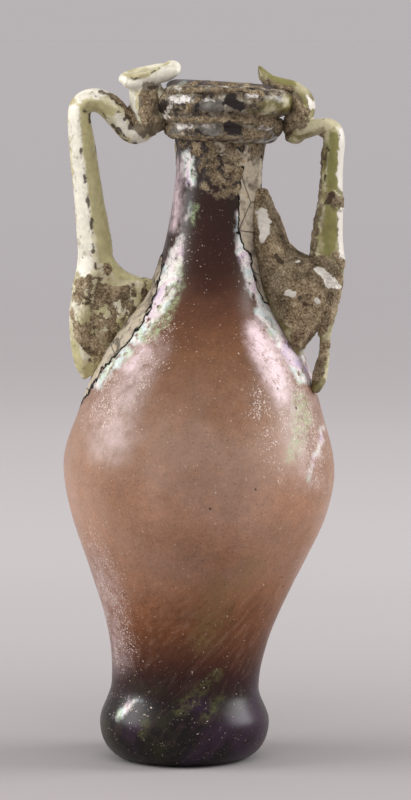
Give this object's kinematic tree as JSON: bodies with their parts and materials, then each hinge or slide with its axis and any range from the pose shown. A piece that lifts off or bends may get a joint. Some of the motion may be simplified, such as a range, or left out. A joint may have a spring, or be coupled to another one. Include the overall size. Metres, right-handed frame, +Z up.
{
  "type": "roman glass unguentarium",
  "caption": "Two-handled blown glass flask with an ovoid body, waisted foot, slender neck, coiled rim and applied handles, leaning and weathered.",
  "frame": {"origin": "middle of the flat underside of the foot, on the surface that the flask stands on", "axes": "+Z up, -Y towards the viewer of the picture, +X to the right, where the right handle is and where the flask leans"},
  "size_m": [0.0555, 0.0538, 0.1393],
  "materials": {
    "purple_glass": "weathered, iridescent",
    "coil_glass": "pitted, with soil and silvery patches",
    "yellow_green_glass": "weathered, with soil on the pad",
    "olive_glass": "weathered, with a thick soil crust on the pad"
  },
  "bodies": {
    "root": {"flask": "purple_glass", "rim_coil": "coil_glass", "left_handle": "yellow_green_glass", "right_handle": "olive_glass"}
  },
  "joints": []
}
